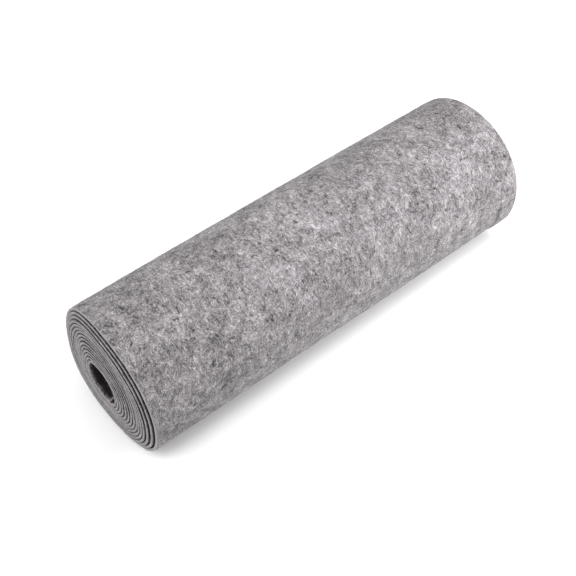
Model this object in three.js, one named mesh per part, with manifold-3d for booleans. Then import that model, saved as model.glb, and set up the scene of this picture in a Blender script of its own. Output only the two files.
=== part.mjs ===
// A roll of thick needle felt: one long strip wound on itself around an empty
// core and laid on its side. Millimetres, +Z up, the roll's axis along X.
// The solid is the wound form: an outline that winds like the strip does, with
// a step of one thickness where the strip ends outside and inside, a small
// flat spot underneath, an open core, and ends that have slid sideways, so the
// inner turns stand out at one end and sit back at the other.

import * as THREE from 'three';
import { mergeVertices } from 'three/addons/utils/BufferGeometryUtils.js';
import Module from 'manifold-3d';

// ---- driving sizes -------------------------------------------------------
const STRIP_WIDTH = 303;      // cut width of the felt, which is the roll's length
const TURN_PITCH = 2.24;      // felt 2 mm thick and the air left between turns
const HALF_WIDTH = 48.7;      // of the roll's section, along Y
const AXIS_HEIGHT = 47.25;    // of the section's centre above the surface
const TOP_RISE = 47.25;       // from the centre to the crown
const SAG_DEPTH = 47.7;       // from the centre to where the underside would reach unpressed
const TOP_POWER = 2.05;       // roundness of the upper half, 2 is an ellipse
const UNDER_POWER = 2.3;      // the lower half is pressed a little squarer
const OUTER_END = 110;        // degrees, where the strip ends outside, under the back
const OUTER_EASE = 100;       // degrees over which the step at that end dies away
const INNER_END = 76;         // degrees, where the strip starts inside the core
const CORE_RADIUS = 13.3;     // of the open core at the strip's inner end
const OUTLINE_STEPS = 80;     // straight pieces in one outline
const TUCK = 0.15;            // each step is set this much inside its turn

// How far each turn has slid out of the outermost one, along -X. A row holds
// from its turn inwards until the next row.
const SLIDE = [
  { turn: 1, out: 0.0 },
  { turn: 2, out: 1.2 },
  { turn: 3, out: 2.2 },
  { turn: 4, out: 2.8 },
  { turn: 9, out: 3.4 },
  { turn: 11, out: 4.0 },
  { turn: 13, out: 4.7 },
];

// ---- the section ---------------------------------------------------------
// Angles run clockwise as seen from the -X end: 0 at -Y, 90 underneath,
// 180 at +Y and 270 at the crown.
const rad = (degrees) => (degrees * Math.PI) / 180;
const smooth = (t) => {
  const u = Math.min(1, Math.max(0, t));
  return u * u * (3 - 2 * u);
};

// Radius of the pressed oval at an angle, before the flat spot is taken.
function ovalRadius(angle) {
  const across = Math.abs(Math.cos(rad(angle)));
  const upright = -Math.sin(rad(angle));
  const power = upright >= 0 ? TOP_POWER : UNDER_POWER;
  const rise = upright >= 0 ? TOP_RISE : SAG_DEPTH;
  return Math.pow(
    Math.pow(across / HALF_WIDTH, power) + Math.pow(Math.abs(upright) / rise, power),
    -1 / power,
  );
}

// Outside of the strip's last turn, followed from just after its free end
// back round to it.
function outerRadius(angle) {
  const since = angle - (OUTER_END - 360);
  return ovalRadius(angle) - TURN_PITCH * (1 - smooth(since / OUTER_EASE));
}

const sectionPoint = (angle, radius) => new THREE.Vector2(
  -radius * Math.cos(rad(angle)),
  Math.max(0, AXIS_HEIGHT - radius * Math.sin(rad(angle))),
);

// Points on the flat spot are dropped, so that it is one straight side.
function withoutFlatRun(points) {
  return points.filter((p, i) => {
    const before = points[(i + points.length - 1) % points.length];
    const after = points[(i + 1) % points.length];
    return !(p.y === 0 && before.y === 0 && after.y === 0);
  });
}

// Outline of everything inside the given turn, turn 1 being the outermost.
function turnOutline(turn) {
  const inset = turn === 1 ? 0 : (turn - 1) * TURN_PITCH + TUCK;
  const points = [];
  for (let i = 0; i <= OUTLINE_STEPS; i += 1) {
    const angle = OUTER_END - 360 + (360 * i) / OUTLINE_STEPS;
    points.push(sectionPoint(angle, outerRadius(angle) - inset));
  }
  return new THREE.Shape(withoutFlatRun(points));
}

// The open core winds too, from the strip's inner end.
function coreOutline() {
  const steps = OUTLINE_STEPS / 2;
  const points = [];
  for (let i = 0; i <= steps; i += 1) {
    const angle = INNER_END + (360 * i) / steps;
    points.push(sectionPoint(angle, CORE_RADIUS + (TURN_PITCH * i) / steps));
  }
  return new THREE.Shape(points);
}

// ---- solids --------------------------------------------------------------
const wasm = await Module();
wasm.setup();

const alongX = new THREE.Matrix4().makeBasis(
  new THREE.Vector3(0, 1, 0),
  new THREE.Vector3(0, 0, 1),
  new THREE.Vector3(1, 0, 0),
);

function prism(outline, from, to) {
  const geometry = new THREE.ExtrudeGeometry(outline, { depth: to - from, bevelEnabled: false });
  geometry.translate(0, 0, from);
  geometry.applyMatrix4(alongX);
  geometry.deleteAttribute('normal');
  geometry.deleteAttribute('uv');
  const merged = mergeVertices(geometry, 1e-4);
  return new wasm.Manifold(new wasm.Mesh({
    numProp: 3,
    vertProperties: new Float32Array(merged.attributes.position.array),
    triVerts: new Uint32Array(merged.index.array),
  }));
}

const farthestOut = SLIDE[SLIDE.length - 1].out;
const nearEdge = -(STRIP_WIDTH + farthestOut) / 2 + farthestOut; // of the outermost turn
const farEdge = nearEdge + STRIP_WIDTH;
const LAP = 6; // how far a joined or cut piece reaches into its neighbour

let roll = prism(turnOutline(1), nearEdge, farEdge);
for (const { turn, out } of SLIDE.slice(1)) {
  const inner = turnOutline(turn);
  roll = roll.add(prism(inner, nearEdge - out, nearEdge + LAP));
  roll = roll.subtract(prism(inner, farEdge - out, farEdge + LAP));
}
roll = roll.subtract(prism(coreOutline(), nearEdge - 30, farEdge + 30));

function toGeometry(manifold) {
  const { vertProperties, triVerts } = manifold.getMesh();
  const geometry = new THREE.BufferGeometry();
  geometry.setAttribute('position', new THREE.BufferAttribute(new Float32Array(vertProperties), 3));
  geometry.setIndex(new THREE.BufferAttribute(new Uint32Array(triVerts), 1));
  geometry.computeBoundingBox();
  const { min, max } = geometry.boundingBox;
  geometry.translate(-(min.x + max.x) / 2, -(min.y + max.y) / 2, 0);
  geometry.computeVertexNormals();
  return geometry;
}

const felt = new THREE.MeshStandardMaterial({ color: 0xa09c9e, roughness: 0.97, metalness: 0 });

const feltRoll = new THREE.Mesh(toGeometry(roll), felt);
feltRoll.name = 'felt_roll';

const part = new THREE.Group();
part.add(feltRoll);

export default part;
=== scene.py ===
import math

import bpy
import numpy as np
from mathutils import Matrix, Vector


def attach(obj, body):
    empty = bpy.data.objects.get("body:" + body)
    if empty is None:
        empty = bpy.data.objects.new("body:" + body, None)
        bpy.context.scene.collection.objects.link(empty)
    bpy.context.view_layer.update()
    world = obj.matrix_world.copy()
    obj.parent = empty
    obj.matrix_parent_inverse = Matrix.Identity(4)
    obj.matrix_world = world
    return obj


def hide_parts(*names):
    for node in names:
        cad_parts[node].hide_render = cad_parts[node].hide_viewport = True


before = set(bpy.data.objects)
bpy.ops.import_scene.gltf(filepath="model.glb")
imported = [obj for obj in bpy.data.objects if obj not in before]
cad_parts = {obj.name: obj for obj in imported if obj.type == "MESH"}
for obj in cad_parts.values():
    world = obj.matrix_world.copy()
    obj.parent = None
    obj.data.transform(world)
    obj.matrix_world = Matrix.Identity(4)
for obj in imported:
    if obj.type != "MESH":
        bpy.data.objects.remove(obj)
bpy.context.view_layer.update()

MM = 0.001

# ---------------------------------------------------------------------------
# Sizes, in millimetres and degrees. Angles run clockwise as seen from the -X
# end: 0 at -Y, 90 underneath, 180 at +Y, 270 at the crown. The strip is
# followed by one growing angle, from its inner end to its outer end.
# ---------------------------------------------------------------------------
STRIP_WIDTH = 303.0
FELT = 1.94                   # thickness
PITCH = 2.24                  # felt and the air between turns
HALF_WIDTH = 48.7             # of the roll's section
AXIS_Y, AXIS_Z = 0.23, 47.25
TOP_RISE, SAG_DEPTH = 47.25, 47.7
TOP_POWER, UNDER_POWER = 2.05, 2.3
OUTER_AT = 110.0              # where the strip ends outside, under the back
OUTER_EASE = 100.0            # the step at that end dies away over this
INNER_AT = 58.0               # where it starts inside the core
TURNS = 15
PHI_OUT = OUTER_AT + 360.0 * TURNS
PHI_IN = INNER_AT

# Where the strip's near cut edge lies, by the turns counted in from its outer
# end: its x, and how far it draws back at the upper back of the roll.
EDGE_TURN = np.array([0.0, 0.4, 1.4, 2.4, 3.4, 4.4, 6.4, 7.4, 8.4, 9.4, 10.4, 11.4, 12.4, 13.4, 15.2])
EDGE_X = np.array([-148.8, -149.0, -150.2, -151.2, -151.8, -151.8, -151.7, -151.8, -152.1, -152.5, -152.9, -153.2, -153.5, -153.7, -153.8])
EDGE_BACK = np.array([2.6, 2.7, 2.8, 3.1, 2.0, 1.6, 1.8, 1.7, 1.6, 1.4, 1.2, 1.1, 1.0, 0.8, 0.5])
EDGE_BACK_AT, EDGE_BACK_WIDE = 213.0, 40.0

# Loose turns: how far the strip has come away from the turn outside it.
LOOSE = [
    {"turn": 1, "gap": 1.15, "middle": 335.0, "reach": 112.0},
    {"turn": 2, "gap": 1.10, "middle": 332.0, "reach": 108.0},
    {"turn": 3, "gap": 0.55, "middle": 345.0, "reach": 92.0},
    {"turn": 4, "gap": 0.08, "middle": 370.0, "reach": 60.0},
    {"turn": 11, "gap": 0.08, "middle": 385.0, "reach": 50.0},
]
# The turns nearer the core all lie a little apart low on the front and high on the back.
LOOSE += [{"turn": k, "gap": 0.11, "middle": 393.0, "reach": 56.0} for k in range(4, 13)]
LOOSE += [{"turn": k, "gap": 0.11, "middle": 218.0, "reach": 66.0} for k in range(4, 13)]

rng = np.random.default_rng(20417)


def smooth(t):
    t = np.clip(t, 0.0, 1.0)
    return t * t * (3.0 - 2.0 * t)


# ---------------------------------------------------------------------------
# Seeded smooth noise on a plane, for unevenness that is real shape.
# ---------------------------------------------------------------------------
class Noise2:
    def __init__(self, seed, size=64):
        self.n = size
        self.g = np.random.default_rng(seed).uniform(-1.0, 1.0, (size, size))

    def __call__(self, x, y):
        x, y = np.broadcast_arrays(np.asarray(x, float), np.asarray(y, float))
        xi, yi = np.floor(x).astype(int), np.floor(y).astype(int)
        fx, fy = smooth(x - xi), smooth(y - yi)
        n, g = self.n, self.g
        a = g[xi % n, yi % n] * (1 - fx) + g[(xi + 1) % n, yi % n] * fx
        b = g[xi % n, (yi + 1) % n] * (1 - fx) + g[(xi + 1) % n, (yi + 1) % n] * fx
        return a * (1 - fy) + b * fy


sway = Noise2(11)
lump_a, lump_b, lump_c = Noise2(21, 128), Noise2(22, 128), Noise2(23, 256)
edge_noise = Noise2(31, 256)
gap_noise = Noise2(41, 64)


# ---------------------------------------------------------------------------
# The wound strip
# ---------------------------------------------------------------------------
def oval(angle):
    a = np.radians(angle)
    across, upright = np.abs(np.cos(a)), -np.sin(a)
    power = np.where(upright >= 0, TOP_POWER, UNDER_POWER)
    rise = np.where(upright >= 0, TOP_RISE, SAG_DEPTH)
    return ((across / HALF_WIDTH) ** power + (np.abs(upright) / rise) ** power) ** (-1.0 / power)


def turns_in(phi):
    return (PHI_OUT - phi) / 360.0


def air(phi):
    """Extra air between the strip and the turn outside it."""
    u = turns_in(phi)
    ring = np.floor(u + 1e-9).astype(int)
    at = np.mod(phi - 90.0, 360.0) + 90.0        # 90..450, so the window never wraps
    total = 0.05 * gap_noise(phi / 55.0, 3.3) + 0.04 * gap_noise(phi / 23.0, 9.7)
    for row in LOOSE:
        away = np.abs(at - row["middle"]) / row["reach"]
        window = np.where(away < 1, np.cos(0.5 * np.pi * np.clip(away, 0, 1)) ** 2, 0.0)
        total = total + np.where(ring == row["turn"], row["gap"] * window ** 0.75, 0.0)
    return total


def outside_radius(phi, w):
    """Radius of the strip's outer face at an angle and a place across its width."""
    u = turns_in(phi)
    ring = np.clip(np.floor(u + 1e-9).astype(int), 0, TURNS)
    angle = OUTER_AT - 360.0 * (u - ring)
    since = angle - (OUTER_AT - 360.0)
    r = oval(angle) - PITCH * (1.0 - smooth(since / OUTER_EASE)) - ring * PITCH
    # towards the core the turns lie rounder than the outside
    r = r - 0.55 * np.clip(u / TURNS, 0.0, 1.0) * (oval(angle) - 48.3)
    drop = np.zeros_like(r)
    for m in range(TURNS):
        here = phi + 360.0 * m
        drop = drop + np.where(turns_in(here) >= 1.0, air(here), 0.0)
    r = r - drop * (1.0 - 0.25 * w / STRIP_WIDTH)
    # the whole roll is a little uneven, less so towards the core
    fade = np.clip(1.0 - u / 9.0, 0.0, 1.0)
    x = w - 149.0
    uneven = 0.12 * sway(angle / 48.0 + 7.0, w / 75.0) + 0.07 * sway(angle / 25.0 + 20.0, w / 31.0 + 5.0)
    # fuller along the middle of the back, and low on the front towards the far end
    round_by = lambda at, wide: np.exp(-((np.mod(angle - at + 180.0, 360.0) - 180.0) / wide) ** 2)
    uneven = uneven + 0.38 * round_by(238.0, 36.0) * (0.8 - ((x + 10.0) / 118.0) ** 2)
    uneven = uneven + round_by(32.0, 30.0) * (-0.2 + 0.75 * smooth((x + 20.0) / 50.0))
    r = r + fade * uneven
    # the far rim of the outermost turn flares low on the front, from a soft crease
    last = smooth((1.02 - u) / 0.06)
    r = r + last * 0.9 * round_by(16.0, 42.0) * smooth((w - 287.0) / 5.0)
    # and eases over a little along the back
    r = r - 0.3 * fade * round_by(250.0, 60.0) * smooth((w - 293.0) / 10.0) ** 2
    # the near rim of the loose turns is eased over
    r = r - 0.25 * np.clip(1.0 - u / 3.0, 0.0, 1.0) * smooth((6.0 - w) / 6.0)
    # the free ends spring a little: outside away from the roll, inside into the core
    r = r + 0.9 * smooth((phi - (PHI_OUT - 16.0)) / 16.0)
    r = r - 1.0 * smooth((PHI_IN + 30.0 - phi) / 30.0) ** 2
    return r


def near_x(phi):
    u = turns_in(phi)
    wander = 0.16 * edge_noise(phi / 37.0, 2.5) + 0.10 * edge_noise(phi / 9.0, 7.5)
    return np.interp(u, EDGE_TURN, EDGE_X) + drawn_back(phi) + wander


def drawn_back(phi):
    away = (np.mod(phi - EDGE_BACK_AT + 180.0, 360.0) - 180.0) / EDGE_BACK_WIDE
    return np.interp(turns_in(phi), EDGE_TURN, EDGE_BACK) * np.exp(-away ** 2)


def cloth_point(phi, w, depth, lift=0.0):
    """Place on the strip: angle, distance across, and depth under its outer face."""
    phi, w, depth, lift = np.broadcast_arrays(*(np.asarray(v, float) for v in (phi, w, depth, lift)))
    r = outside_radius(phi, w) - depth + lift
    a = np.radians(phi)
    z = AXIS_Z - r * np.sin(a)
    ring = np.clip(np.floor(turns_in(phi) + 1e-9), 0, TURNS)
    under = np.abs(np.mod(phi, 360.0) - 90.0) < 24.0
    floor = ring * (FELT + 0.05) + np.maximum(depth, 0.0)
    z = np.where(under & (z < floor), floor, z)
    far = edge_noise(phi / 41.0 + 50.0, 12.5) * 0.25
    x = near_x(phi) + w + (far - drawn_back(phi)) * np.clip(w / STRIP_WIDTH, 0.0, 1.0)
    return np.stack([x, AXIS_Y - r * np.cos(a), z], axis=-1)


def arc_lengths(phi):
    p = cloth_point(phi, 0.5 * STRIP_WIDTH, 0.5 * FELT)
    d = np.linalg.norm(np.diff(p[:, 1:], axis=0), axis=1)
    return np.concatenate([[0.0], np.cumsum(d)])


ROUND = [(0.0, 0.62), (0.07, 0.30), (0.22, 0.09)]   # (in from the edge, depth under a face)
RIM_SHADE = [0.0, 0.30, 0.75]       # how much of the painted shade between turns reaches each of these


def strip_rows(stations):
    """One closed ring across the strip: (distance across, depth share, lump, cut, rim) rows; rim is the share of
    painted shade between turns that the row gets.
    """
    eased = [(inset, depth / FELT, rim) for (inset, depth), rim in zip(ROUND, RIM_SHADE)]
    rows = [(w, 0.0, 1.0, 0.0, 0.0) for w in stations]
    rows += [(STRIP_WIDTH - inset, share, 0.0, 1.0, rim) for inset, share, rim in reversed(eased)]
    rows.append((STRIP_WIDTH + 0.03, 0.5, 0.0, 1.0, 0.0))
    rows += [(STRIP_WIDTH - inset, 1.0 - share, 0.0, 1.0, rim) for inset, share, rim in eased]
    rows += [(w, 1.0, 0.0, 0.0, 0.0) for w in reversed(stations)]
    rows += [(inset, 1.0 - share, 0.0, 1.0, rim) for inset, share, rim in reversed(eased)]
    rows.append((-0.03, 0.5, 0.0, 1.0, 0.0))
    rows += [(inset, share, 0.0, 1.0, rim) for inset, share, rim in eased]
    return np.array(rows)


def lumps(s, w):
    """Small soft unevenness of the felt's face."""
    return (0.070 * lump_a(s / 13.0, w / 13.0) + 0.060 * lump_b(s / 6.3, w / 6.3) + 0.045 * lump_c(s / 3.2, w / 3.2))


def strip_part(phis, s, stations, first, close_start, close_end):
    rows = strip_rows(stations)
    n, m = len(phis), len(rows)
    phi, w = phis[:, None], rows[None, :, 0] * np.ones((n, 1))
    share = rows[None, :, 1] * np.ones((n, 1))
    # the cut ends of the strip are eased over like its edges
    end = np.minimum(s, STRIP_LENGTH - s)[:, None]
    thick = FELT * (1.0 - 0.28 * np.clip(1.0 - end / 0.45, 0.0, 1.0) ** 2)
    depth = 0.5 * FELT + (share - 0.5) * thick
    lift = rows[None, :, 2] * lumps(s[:, None], w)
    lift = np.where(depth > 0.2, 0.0, lift)
    ragged = 0.10 * rows[None, :, 3] * edge_noise(s[:, None] / 2.1, 3.0 * share + (w > 150) * 40.0)
    p = cloth_point(phi, w + ragged, depth, lift)
    coords = np.stack([s[:, None] * np.ones((1, m)), w, depth], axis=-1)
    cut = rows[None, :, 3] * np.ones((n, 1))
    # painted shade: how deep a place lies between the turns or inside the core, as darkening painted into the colour
    lip = near_x(phi + 360.0) - near_x(phi)
    in_near, in_far = w, STRIP_WIDTH - w
    covered_shade = np.maximum(smooth((in_near - lip + 1.1) / 1.1) * smooth((in_far + lip + 1.1) / 1.1), 0.0)
    covered_shade = np.where(turns_in(phi) > 1.0, covered_shade, 0.0) * (1.0 - cut)
    inside_shade = smooth((np.minimum(in_near, in_far) - 0.3) / 1.2)
    # painted shade on the innermost turn, the wall of the core
    core_shade = smooth((np.minimum(in_near, in_far) - 0.2) / 2.6)
    inside_shade = np.where(turns_in(phi) > TURNS - 1.0, core_shade, inside_shade)
    painted_shade = np.where(share < 0.5, covered_shade, inside_shade) * (1.0 - cut)
    # painted shade along the rounded cut edges of the inner turns, darkening the lines between them
    apart_shade = smooth((turns_in(phi) - 2.3) / 0.8) * (0.8 + 0.5 * gap_noise(phi / 31.0, 5.1))
    apart_shade = np.where((turns_in(phi) > TURNS - 1.0) & (share > 0.5), 0.0, apart_shade)
    painted_shade = np.maximum(painted_shade, rows[None, :, 4] * np.clip(apart_shade, 0.0, 1.0))
    # less painted shade on the cut inner end near the mouth of the core, so it shows lit there
    painted_shade = painted_shade * (1.0 - 0.85 * smooth((2.4 - s[:, None]) / 1.2) * smooth((9.0 - in_near) / 4.0))
    # painted shade in the crease where the far rim flares
    turn = np.mod(phi - 14.0 + 180.0, 360.0) - 180.0
    crease_shade = 0.75 * np.exp(-(turn / 27.0) ** 2 - ((w - 288.3 - 0.6 * edge_noise(phi / 6.0, 4.5)) / 1.0) ** 2)
    painted_shade = np.where((turns_in(phi) < 0.9) & (share < 0.5), np.maximum(painted_shade, crease_shade), painted_shade)
    i, j = np.meshgrid(np.arange(n - 1), np.arange(m), indexing="ij")
    k = (j + 1) % m
    quads = np.stack([i * m + j, i * m + k, (i + 1) * m + k, (i + 1) * m + j], axis=-1).reshape(-1, 4)
    caps = []
    c = len(stations)
    for row, flip in ((0, close_start), (n - 1, close_end)):
        base = row * m
        # pair the outer run with the inner run, station by station
        outer = [base + t for t in range(m)]
        top = outer[m - 3:] + outer[:c + 3]
        bottom = [base + t for t in range(c + 4, c + 4 + 3)] + [base + t for t in range(c + 7, c + 7 + c)] + [base + t for t in range(2 * c + 7, 2 * c + 10)]
        bottom = bottom[::-1]
        for a in range(len(top) - 1):
            face = [top[a], top[a + 1], bottom[a + 1], bottom[a]]
            caps.append(face[::-1] if flip else face)
        left = [top[0], bottom[0], base + m - 4]
        right = [top[-1], base + c + 3, bottom[-1]]
        caps += [left[::-1], right[::-1]] if flip else [left, right]
    faces = [list(q + first) for q in quads] + [[v + first for v in f] for f in caps]
    return p.reshape(-1, 3), coords.reshape(-1, 3), cut.reshape(-1), painted_shade.reshape(-1), faces


def fill_mesh(name, points_mm, faces, floats=None, vectors=None, smooth_faces=True):
    mesh = bpy.data.meshes.new(name)
    mesh.from_pydata((np.asarray(points_mm) * MM).tolist(), [], [list(map(int, f)) for f in faces])
    mesh.validate()
    mesh.update()
    for key, values in (floats or {}).items():
        layer = mesh.attributes.new(key, "FLOAT", "POINT")
        layer.data.foreach_set("value", np.asarray(values, np.float32))
    for key, values in (vectors or {}).items():
        layer = mesh.attributes.new(key, "FLOAT_VECTOR", "POINT")
        layer.data.foreach_set("vector", np.asarray(values, np.float32).reshape(-1))
    if smooth_faces:
        mesh.polygons.foreach_set("use_smooth", np.ones(len(mesh.polygons), bool))
    obj = bpy.data.objects.new(name, mesh)
    bpy.context.scene.collection.objects.link(obj)
    return obj


# Stations along the strip: a turn of the core takes 72, the last turn 180.
LAST = 378.0                                     # degrees of finely made strip
SPLIT = PHI_OUT - LAST
phi_in = np.concatenate([[PHI_IN, PHI_IN + 0.6, PHI_IN + 2.0], np.linspace(PHI_IN + 5.0, SPLIT, 1 + int((SPLIT - PHI_IN - 5.0) / 5.0))])
phi_out = np.concatenate([np.linspace(SPLIT, PHI_OUT - 2.0, 190), [PHI_OUT - 1.0, PHI_OUT - 0.4, PHI_OUT - 0.15, PHI_OUT]])
s_all = arc_lengths(np.concatenate([phi_in, phi_out[1:]]))
STRIP_LENGTH = float(s_all[-1])
s_in, s_out = s_all[:len(phi_in)], s_all[len(phi_in) - 1:]
FEW = [0.40, 0.7, 1.1, 1.6, 2.3, 3.4, 6.0, 12.0, 60.0, 150.0, 240.0, 291.0, 297.0, 300.0, 301.3, 302.0, 302.6]
MANY = [0.45, 0.9, 1.7, 3.0] + list(np.linspace(5.0, 285.4, 101)) + [286.6, 287.5, 288.3, 289.1, 290.0, 292.4, 295.2, 298.0] + [300.0, 301.3, 302.1, 302.55]

a_pts, a_xyz, a_cut, a_painted_shade, a_faces = strip_part(phi_in, s_in, FEW, 0, True, False)
phi_gap = phi_out.copy()
phi_gap[0] += 0.03
b_pts, b_xyz, b_cut, b_painted_shade, b_faces = strip_part(phi_gap, s_out, MANY, len(a_pts), True, False)
# the painted shade between the turns and inside the core goes with the mesh as a float attribute
strip = fill_mesh(
    "felt_strip",
    np.concatenate([a_pts, b_pts]),
    a_faces + b_faces,
    # the outer turns' cut edges are marked 1.7 times as strongly, for a brighter painted highlight and plainer
    # fibres there
    floats={"cut": np.concatenate([a_cut, 1.7 * b_cut]), "shade_paint": np.concatenate([a_painted_shade, b_painted_shade])},
    vectors={"cloth": np.concatenate([a_xyz, b_xyz])},
)


# ---------------------------------------------------------------------------
# Material: needle felt of mixed light and dark fibres
# ---------------------------------------------------------------------------
class Nodes:
    def __init__(self, material):
        material.use_nodes = True
        self.tree = material.node_tree
        self.tree.nodes.clear()

    def add(self, kind, **settings):
        node = self.tree.nodes.new(kind)
        for key, value in settings.items():
            setattr(node, key, value)
        return node

    def link(self, a, b):
        self.tree.links.new(a, b)

    def math(self, op, a, b=None, c=None, clamp=False):
        node = self.add("ShaderNodeMath", operation=op, use_clamp=clamp)
        for slot, value in zip(node.inputs, (a, b, c)):
            if value is None:
                continue
            if isinstance(value, (int, float)):
                slot.default_value = value
            else:
                self.link(value, slot)
        return node.outputs[0]

    def noise(self, vector, scale, detail=2.0, roughness=0.5, distortion=0.0):
        node = self.add("ShaderNodeTexNoise", noise_dimensions="3D")
        node.inputs["Scale"].default_value = scale
        node.inputs["Detail"].default_value = detail
        node.inputs["Roughness"].default_value = roughness
        node.inputs["Distortion"].default_value = distortion
        self.link(vector, node.inputs["Vector"])
        return node

    def ramp(self, value, stops, interpolation="LINEAR"):
        node = self.add("ShaderNodeValToRGB")
        node.color_ramp.interpolation = interpolation
        while len(node.color_ramp.elements) < len(stops):
            node.color_ramp.elements.new(0.5)
        for element, (place, colour) in zip(node.color_ramp.elements, stops):
            element.position = place
            element.color = (*colour, 1.0)
        self.link(value, node.inputs["Fac"])
        return node.outputs["Color"]

    def remap(self, value, a, b, c, d, kind="SMOOTHSTEP"):
        node = self.add("ShaderNodeMapRange", interpolation_type=kind, clamp=True)
        for key, number in (("From Min", a), ("From Max", b), ("To Min", c), ("To Max", d)):
            node.inputs[key].default_value = number
        self.link(value, node.inputs["Value"])
        return node.outputs["Result"]

    def turned(self, vector, angle, scale, place=(0.0, 0.0, 0.0)):
        node = self.add("ShaderNodeMapping", vector_type="POINT")
        node.inputs["Rotation"].default_value = (0.0, 0.0, math.radians(angle))
        node.inputs["Scale"].default_value = scale
        node.inputs["Location"].default_value = place
        self.link(vector, node.inputs["Vector"])
        return node.outputs["Vector"]


def felt_material():
    material = bpy.data.materials.new("heathered_felt")
    n = Nodes(material)
    cloth = n.add("ShaderNodeAttribute", attribute_name="cloth").outputs["Vector"]
    cut = n.add("ShaderNodeAttribute", attribute_name="cut").outputs["Fac"]
    shade_paint = n.add("ShaderNodeAttribute", attribute_name="shade_paint").outputs["Fac"]

    # fibres wander, so every fine pattern is bent by a slow noise first
    bend = n.noise(cloth, 0.16, 2.0, 0.5)
    off = n.add("ShaderNodeVectorMath", operation="SUBTRACT")
    n.link(bend.outputs["Color"], off.inputs[0])
    off.inputs[1].default_value = (0.5, 0.5, 0.5)
    push = n.add("ShaderNodeVectorMath", operation="SCALE")
    push.inputs["Scale"].default_value = 5.0
    n.link(off.outputs[0], push.inputs[0])
    bent = n.add("ShaderNodeVectorMath", operation="ADD")
    n.link(cloth, bent.inputs[0])
    n.link(push.outputs[0], bent.inputs[1])
    bent = bent.outputs[0]

    # fibre streaks in several directions
    streaks = None
    for angle, place in ((8.0, (3.0, 1.0, 0.0)), (64.0, (17.0, 5.0, 2.0)), (121.0, (41.0, 9.0, 4.0)), (157.0, (67.0, 2.0, 6.0))):
        layer = n.noise(n.turned(bent, angle, (0.22, 1.5, 1.1), place), 1.0, 2.0, 0.6).outputs["Fac"]
        streaks = layer if streaks is None else n.math("ADD", streaks, layer)
    streaks = n.math("MULTIPLY_ADD", streaks, 0.25, -0.5)

    coarse = n.math("SUBTRACT", n.noise(bent, 0.030, 2.0, 0.6).outputs["Fac"], 0.5)
    middle = n.math("SUBTRACT", n.noise(bent, 0.125, 1.5, 0.7, 0.4).outputs["Fac"], 0.5)
    small = n.math("SUBTRACT", n.noise(bent, 0.42, 1.5, 0.7, 0.3).outputs["Fac"], 0.5)
    grain = n.math("SUBTRACT", n.noise(bent, 1.15, 2.0, 0.8).outputs["Fac"], 0.5)

    across = n.add("ShaderNodeSeparateXYZ")
    n.link(cloth, across.inputs[0])
    # painted shade: the tone is darker towards the near end, fading out 120 mm across the width
    tone = n.math("MULTIPLY_ADD", coarse, 0.30, n.remap(across.outputs["Y"], 5.0, 120.0, -0.040, 0.0))
    tone = n.math("MULTIPLY_ADD", middle, 0.55, tone)
    tone = n.math("MULTIPLY_ADD", small, 0.60, tone)
    tone = n.math("MULTIPLY_ADD", grain, 1.15, tone)
    tone = n.math("MULTIPLY_ADD", streaks, 1.25, tone)

    # scattered darker tufts and a few pale ones
    tuft = n.noise(bent, 0.19, 1.0, 0.6, 0.6).outputs["Fac"]
    tone = n.math("SUBTRACT", tone, n.remap(tuft, 0.655, 0.75, 0.0, 0.26))
    pale = n.noise(n.turned(bent, 30.0, (0.5, 1.0, 1.0), (90.0, 30.0, 10.0)), 0.33, 1.0, 0.6).outputs["Fac"]
    tone = n.math("ADD", tone, n.remap(pale, 0.68, 0.78, 0.0, 0.13))

    # a cut edge shows the fibres end on, plainer; it is also painted a little paler, a painted highlight along the
    # cut edges
    calm = n.math("MULTIPLY_ADD", cut, -0.45, 1.0)
    tone = n.math("MULTIPLY", tone, calm)
    tone = n.math("MULTIPLY_ADD", cut, 0.085, tone)
    fac = n.math("MULTIPLY_ADD", tone, 1.28, 0.49, clamp=True)

    colour = n.ramp(fac, [
        (0.00, (0.030, 0.0275, 0.029)),
        (0.25, (0.0955, 0.0888, 0.0926)),
        (0.50, (0.199, 0.186, 0.193)),
        (0.75, (0.316, 0.299, 0.309)),
        (1.00, (0.500, 0.480, 0.492)),
    ])

    # painted shade: the colour is darkened where little light comes back out from between the turns and from inside
    # the core
    dim = n.add("ShaderNodeVectorMath", operation="SCALE")
    n.link(colour, dim.inputs[0])
    n.link(n.math("MULTIPLY_ADD", shade_paint, -0.95, 1.0), dim.inputs["Scale"])
    colour = dim.outputs[0]

    height = n.math("MULTIPLY_ADD", streaks, 1.2, n.math("MULTIPLY", grain, 0.7))
    height = n.math("MULTIPLY_ADD", small, 0.8, height)
    bump = n.add("ShaderNodeBump")
    bump.inputs["Strength"].default_value = 0.55
    bump.inputs["Distance"].default_value = 0.00035
    n.link(height, bump.inputs["Height"])

    shader = n.add("ShaderNodeBsdfPrincipled")
    n.link(colour, shader.inputs["Base Color"])
    n.link(bump.outputs["Normal"], shader.inputs["Normal"])
    shader.inputs["Roughness"].default_value = 0.95
    shader.inputs["Specular IOR Level"].default_value = 0.12
    shader.inputs["Sheen Weight"].default_value = 0.10
    shader.inputs["Sheen Roughness"].default_value = 0.55
    out = n.add("ShaderNodeOutputMaterial")
    n.link(shader.outputs[0], out.inputs["Surface"])
    return material


felt = felt_material()
strip.data.materials.append(felt)
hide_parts("felt_roll")
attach(strip, "root")


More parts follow.
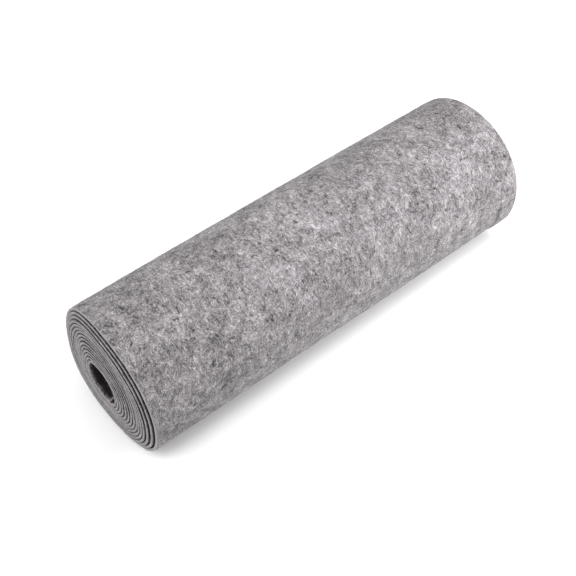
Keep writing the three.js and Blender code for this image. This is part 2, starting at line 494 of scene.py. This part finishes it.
# ---------------------------------------------------------------------------
# Loose fibres on the outer face, and fuzz along the cut edges
# ---------------------------------------------------------------------------
def tubes(paths, radius):
    """Three-sided closed tubes along many paths of the same number of points."""
    count, steps, _ = paths.shape
    along = np.gradient(paths, axis=1)
    along /= np.linalg.norm(along, axis=2, keepdims=True) + 1e-12
    out = paths * np.array([0.0, 1.0, 1.0]) - np.array([0.0, AXIS_Y, AXIS_Z])
    side = np.cross(along, out + np.array([0.37, 0.11, 0.23]))
    side /= np.linalg.norm(side, axis=2, keepdims=True) + 1e-12
    up = np.cross(side, along)
    taper = np.sin(np.linspace(0.25, math.pi - 0.25, steps)) ** 0.5
    size = radius[:, None, None] * taper[None, :, None]
    ring = [paths + size * (math.cos(a) * up + math.sin(a) * side) for a in (0.0, 2.0944, 4.1888)]
    points = np.stack(ring, axis=2).reshape(-1, 3)
    base = np.arange(count)[:, None, None] * steps * 3 + np.arange(steps - 1)[None, :, None] * 3
    j = np.arange(3)[None, None, :]
    k = (j + 1) % 3
    quads = np.stack(np.broadcast_arrays(base + j, base + k, base + 3 + k, base + 3 + j), axis=-1).reshape(-1, 4)
    first = np.arange(count) * steps * 3
    caps = [[b + 2, b + 1, b] for b in first] + [[b + (steps - 1) * 3, b + (steps - 1) * 3 + 1, b + (steps - 1) * 3 + 2] for b in first]
    return points, quads.tolist() + caps


PHI_ALL = np.concatenate([phi_in, phi_out[1:]])


def fibre_tones(count, steps):
    kinds = rng.random(count)
    tone = np.where(kinds < 0.50, rng.uniform(0.58, 0.88, count), np.where(kinds < 0.80, rng.uniform(0.0, 0.2, count), rng.uniform(0.35, 0.6, count)))
    return np.repeat(tone, steps * 3)


def face_fibres(count, steps=8):
    t = np.linspace(0.0, 1.0, steps)[None, :]
    length = rng.uniform(3.5, 10.0, count)[:, None]
    heading = rng.uniform(0.0, 2.0 * math.pi, count)[:, None] + rng.normal(0.0, 1.1, count)[:, None] * t + 0.6 * np.sin(rng.uniform(3.0, 7.0, count)[:, None] * t + rng.uniform(0.0, 6.0, count)[:, None])
    step = length / (steps - 1)
    s_go = np.cumsum(np.cos(heading) * step, axis=1)
    w_go = np.cumsum(np.sin(heading) * step, axis=1)
    phi = rng.uniform(SPLIT + 32.0, PHI_OUT - 14.0, count)[:, None] + np.degrees(s_go / 48.0)
    w = np.clip(rng.uniform(2.0, STRIP_WIDTH - 2.0, count)[:, None] + w_go, 0.6, STRIP_WIDTH - 0.6)
    rise = rng.uniform(0.04, 0.17, count)[:, None]
    lift = lumps(np.interp(phi, PHI_ALL, s_all), w) - 0.07 + (0.07 + rise) * np.sin(math.pi * t) ** 0.6
    return cloth_point(phi, w, 0.0, lift), rng.uniform(0.045, 0.085, count)


def edge_fuzz(count, steps=4):
    t = np.linspace(0.0, 1.0, steps)[None, :]
    s = rng.uniform(2.0, STRIP_LENGTH - 2.0, count)
    phi = np.interp(s, s_all, PHI_ALL)[:, None]
    radius = np.maximum(outside_radius(phi, 150.0), 12.0)
    drift = rng.normal(0.0, 0.7, count)[:, None] * t ** 1.4
    reach = rng.gamma(2.2, 0.16, count)[:, None] + 0.12
    w = 0.25 - (0.25 + reach) * t
    w = np.where(rng.random(count)[:, None] < 0.55, w, STRIP_WIDTH - w)
    depth = rng.uniform(0.25, FELT - 0.25, count)[:, None] + rng.normal(0.0, 0.35, count)[:, None] * t
    return cloth_point(phi + np.degrees(drift / radius), w, depth), rng.uniform(0.025, 0.05, count)


def face_fuzz(count, steps=4):
    t = np.linspace(0.0, 1.0, steps)[None, :]
    lean, turn = rng.uniform(0.2, 0.9, count)[:, None], rng.uniform(0.0, 2.0 * math.pi, count)[:, None]
    phi = rng.uniform(SPLIT + 32.0, PHI_OUT - 14.0, count)[:, None] + np.degrees(lean * np.cos(turn) * t / 48.0)
    w = rng.uniform(1.0, STRIP_WIDTH - 1.0, count)[:, None] + lean * np.sin(turn) * t
    lift = lumps(np.interp(phi, PHI_ALL, s_all), w) - 0.06 + (0.06 + rng.gamma(2.0, 0.15, count)[:, None]) * np.sin(0.5 * math.pi * t)
    return cloth_point(phi, w, 0.0, lift), rng.uniform(0.022, 0.04, count)


def fibre_material():
    material = bpy.data.materials.new("felt_fibre")
    n = Nodes(material)
    tone = n.add("ShaderNodeAttribute", attribute_name="tone").outputs["Fac"]
    cloth = n.add("ShaderNodeTexCoord").outputs["Object"]
    vary = n.math("SUBTRACT", n.noise(cloth, 900.0, 2.0, 0.6).outputs["Fac"], 0.5)
    colour = n.ramp(n.math("MULTIPLY_ADD", vary, 0.25, tone), [
        (0.00, (0.036, 0.033, 0.035)),
        (0.50, (0.200, 0.187, 0.194)),
        (1.00, (0.560, 0.535, 0.550)),
    ])
    shader = n.add("ShaderNodeBsdfPrincipled")
    n.link(colour, shader.inputs["Base Color"])
    shader.inputs["Roughness"].default_value = 0.8
    shader.inputs["Specular IOR Level"].default_value = 0.15
    out = n.add("ShaderNodeOutputMaterial")
    n.link(shader.outputs[0], out.inputs["Surface"])
    return material


fibre = fibre_material()
paths, radius = face_fibres(2600)
points, faces = tubes(paths, radius)
fibres = fill_mesh("felt_fibres", points, faces, floats={"tone": fibre_tones(2600, 8)})
a_paths, a_radius = edge_fuzz(4200)
b_paths, b_radius = face_fuzz(2600)
points, faces = tubes(np.concatenate([a_paths, b_paths]), np.concatenate([a_radius, b_radius]))
fuzz = fill_mesh("felt_fuzz", points, faces, floats={"tone": np.repeat(rng.uniform(0.45, 0.85, 6800), 12)})
for piece in (fibres, fuzz):
    piece.data.materials.append(fibre)
    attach(piece, "root")


# ---------------------------------------------------------------------------
# Floor, light and camera
# ---------------------------------------------------------------------------
floor_mesh = bpy.data.meshes.new("floor")
floor_mesh.from_pydata([(-6, -6, 0), (6, -6, 0), (6, 6, 0), (-6, 6, 0)], [], [(0, 1, 2, 3)])
floor = bpy.data.objects.new("floor", floor_mesh)
bpy.context.scene.collection.objects.link(floor)
paper = bpy.data.materials.new("pale_floor")
n = Nodes(paper)
shader = n.add("ShaderNodeBsdfPrincipled")
shader.inputs["Base Color"].default_value = (0.90, 0.90, 0.90, 1.0)
shader.inputs["Roughness"].default_value = 0.9
shader.inputs["Specular IOR Level"].default_value = 0.1
out = n.add("ShaderNodeOutputMaterial")
n.link(shader.outputs[0], out.inputs["Surface"])
floor_mesh.materials.append(paper)

world = bpy.data.worlds.new("studio")
bpy.context.scene.world = world
n = Nodes(world)
sky = n.add("ShaderNodeBackground")
sky.inputs["Color"].default_value = (1.0, 1.0, 1.0, 1.0)
sky.inputs["Strength"].default_value = 0.48
out = n.add("ShaderNodeOutputWorld")
n.link(sky.outputs[0], out.inputs["Surface"])


def area_light(name, place, target, size, watts):
    data = bpy.data.lights.new(name, "AREA")
    data.shape = "SQUARE"
    data.size = size
    data.energy = watts
    light = bpy.data.objects.new(name, data)
    bpy.context.scene.collection.objects.link(light)
    light.location = place
    light.rotation_mode = "QUATERNION"
    light.rotation_quaternion = (Vector(target) - Vector(place)).to_track_quat("-Z", "Y")
    light.visible_camera = False
    return light


area_light("left_soft", (-0.58, 0.0, 0.73), (0.0, 0.0, 0.04), 0.6, 5.7)
area_light("top_soft", (0.0, 0.0, 1.0), (0.0, 0.0, 0.0), 0.8, 2.9)
area_light("right_low", (0.32, -0.34, 0.22), (0.12, 0.0, 0.04), 0.25, 1.5)
area_light("right_high", (0.20, -0.22, 0.52), (0.08, 0.0, 0.04), 0.3, 1.5)

scene = bpy.context.scene
scene.view_settings.view_transform = "Standard"
scene.view_settings.look = "None"
scene.view_settings.exposure = 0.0
scene.view_settings.gamma = 1.0

CAM_AZ, CAM_EL = math.radians(-40.05), math.radians(48.80)
CAM_TARGET = Vector((-17.06, -8.04, 40.34)) * MM
CAM_DISTANCE = 682.5 * MM
FOCAL_PIXELS, FRAME_PIXELS = 1055.0, 576.0
back = Vector((math.sin(CAM_AZ) * math.cos(CAM_EL), -math.cos(CAM_AZ) * math.cos(CAM_EL), math.sin(CAM_EL)))
cam_data = bpy.data.cameras.new("camera")
cam_data.sensor_width = 36.0
cam_data.sensor_fit = "HORIZONTAL"
cam_data.lens = 36.0 * FOCAL_PIXELS / FRAME_PIXELS
cam_data.clip_start, cam_data.clip_end = 0.01, 50.0
camera = bpy.data.objects.new("camera", cam_data)
scene.collection.objects.link(camera)
camera.location = CAM_TARGET + back * CAM_DISTANCE
camera.rotation_mode = "QUATERNION"
camera.rotation_quaternion = (-back).to_track_quat("-Z", "Y")
scene.camera = camera

bpy.context.view_layer.update()
